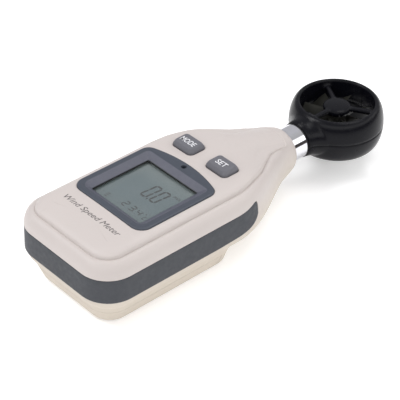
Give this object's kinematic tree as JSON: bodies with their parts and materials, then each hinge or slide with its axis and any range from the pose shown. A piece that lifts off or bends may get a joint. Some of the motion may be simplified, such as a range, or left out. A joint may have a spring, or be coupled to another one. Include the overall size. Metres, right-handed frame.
{
  "type": "vane anemometer",
  "caption": "Pocket vane anemometer: tapered case with display, two keys and bumper band, slide-off battery cover, and a ducted vane head on a plated neck.",
  "frame": {"origin": "middle of the length and width, at the resting face of the battery cover", "axes": "+Y from the base end of the case to the vane head, +Z out of the display face, +X to the right seen from the display side with the head up"},
  "size_m": [0.0348, 0.105, 0.0229],
  "materials": {
    "shell": "satin warm white moulded plastic",
    "bumper": "matt blue-grey overmoulded rubber",
    "bezel": "semi-gloss blue-grey plastic",
    "key": "matt grey moulded keys",
    "window": "clear acrylic window",
    "lcd": "grey-green reflective liquid crystal cell",
    "head": "semi-gloss black plastic",
    "vane": "dark smoked plastic",
    "chrome": "bright chrome plating",
    "steel": "bright steel",
    "brass": "nickel-brass contacts",
    "board": "green solder-masked laminate",
    "chip": "black epoxy",
    "seal": "black rubber",
    "jewel": "ruby-coloured jewel bearing",
    "magnet": "sintered magnet",
    "wire": "soft PVC insulation"
  },
  "bodies": {
    "instrument": {"front_case": "shell", "rear_case": "shell", "side_bumper": "bumper", "display_bezel": "bezel", "display_window": "window", "display_gasket": "seal", "lcd_glass": "lcd", "lcd_holder": "chip", "zebra_strips": "seal", "main_board": "board", "board_components": "chip", "tact_switches": "chip", "temperature_sensor": "chip", "battery_cell": "steel", "battery_holder": "chip", "battery_contact_negative": "brass", "battery_contact_positive": "brass", "case_screws": "steel", "board_screws": "steel", "neck_tube": "chrome", "neck_lock_ring": "steel", "neck_seal": "seal", "head_upper_shell": "head", "head_lower_shell": "head", "head_screws": "steel", "upper_bearing": "jewel", "lower_bearing": "jewel", "sensor_board": "board", "rotation_sensor": "chip", "sensor_wires": "wire"},
    "battery_door": {"battery_cover": "shell", "battery_pad": "seal"},
    "mode_key": {"mode_button": "key", "mode_switch_pin": "chip"},
    "set_key": {"set_button": "key", "set_switch_pin": "chip"},
    "vane": {"impeller": "vane", "impeller_magnet": "magnet", "impeller_shaft": "steel"}
  },
  "joints": [
    {"name": "vane_spin", "type": "hinge", "parent": "instrument", "child": "vane", "pos_m": [0, 0.0401, 0.0119], "axis": [0, 0, 1], "continuous": true},
    {"name": "mode_press", "type": "slide", "parent": "instrument", "child": "mode_key", "axis": [0, 0, -1], "range_m": [0, 0.0005], "stiffness_N_per_m": 1200, "springref_m": -0.0003},
    {"name": "set_press", "type": "slide", "parent": "instrument", "child": "set_key", "axis": [0, 0, -1], "range_m": [0, 0.0005], "stiffness_N_per_m": 1200, "springref_m": -0.0003},
    {"name": "battery_cover_slide", "type": "slide", "parent": "instrument", "child": "battery_door", "axis": [0, -1, 0], "range_m": [0, 0.034]}
  ]
}
